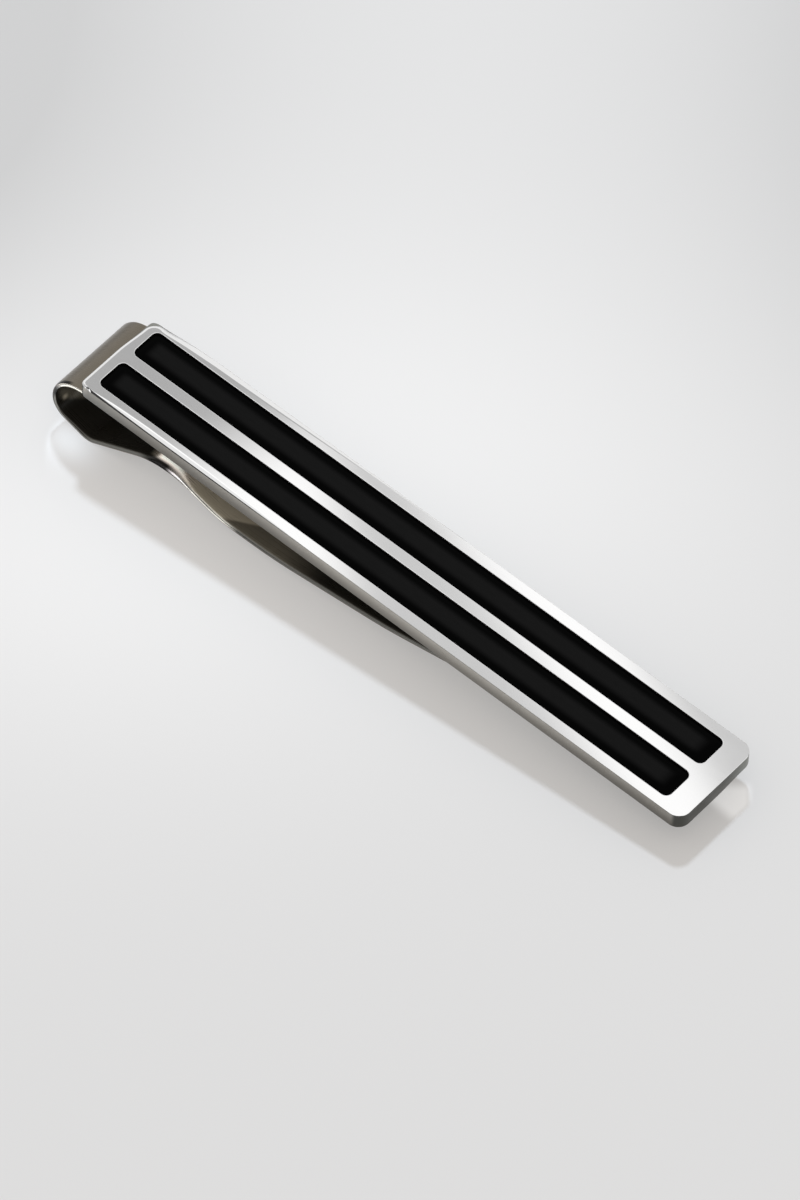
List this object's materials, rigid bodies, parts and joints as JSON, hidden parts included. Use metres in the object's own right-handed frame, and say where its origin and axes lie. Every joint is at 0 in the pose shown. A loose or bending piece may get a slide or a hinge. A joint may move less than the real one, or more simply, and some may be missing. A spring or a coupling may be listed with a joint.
{
  "type": "tie clip",
  "caption": "Flat polished steel tie clip with black inlays along its face and a hairpin spring leg that loops back under the bar and grips the tie.",
  "frame": {"origin": "under the middle of the bounding box, level with the lowest point of the spring loop", "axes": "+X along the bar from the loop end to the free end, +Y across the bar, +Z out of the bar's polished face"},
  "size_m": [0.059, 0.008, 0.0069],
  "materials": {
    "polished_steel": "mirror polished steel",
    "black_inlay": "glossy black resin",
    "inlay_adhesive": "cured epoxy film",
    "soft_solder": "dull tin solder",
    "spring_steel": "satin rolled spring steel, brownish grey"
  },
  "bodies": {
    "leg": {"grip_leg": "spring_steel", "spring_loop": "spring_steel"},
    "bar": {"face_bar": "polished_steel", "lower_inlay": "black_inlay", "upper_inlay": "black_inlay", "lower_inlay_glue": "inlay_adhesive", "upper_inlay_glue": "inlay_adhesive", "solder_joint": "soft_solder", "spring_carrier": "spring_steel"}
  },
  "joints": [
    {"name": "clip_opening", "type": "hinge", "parent": "leg", "child": "bar", "pos_m": [-0.02632, 0, 0.0025], "axis": [0, -1, 0], "range_deg": [0, 8], "stiffness_Nm_per_rad": 0.06, "springref_deg": -20.05, "deforming": ["spring_loop"]}
  ]
}
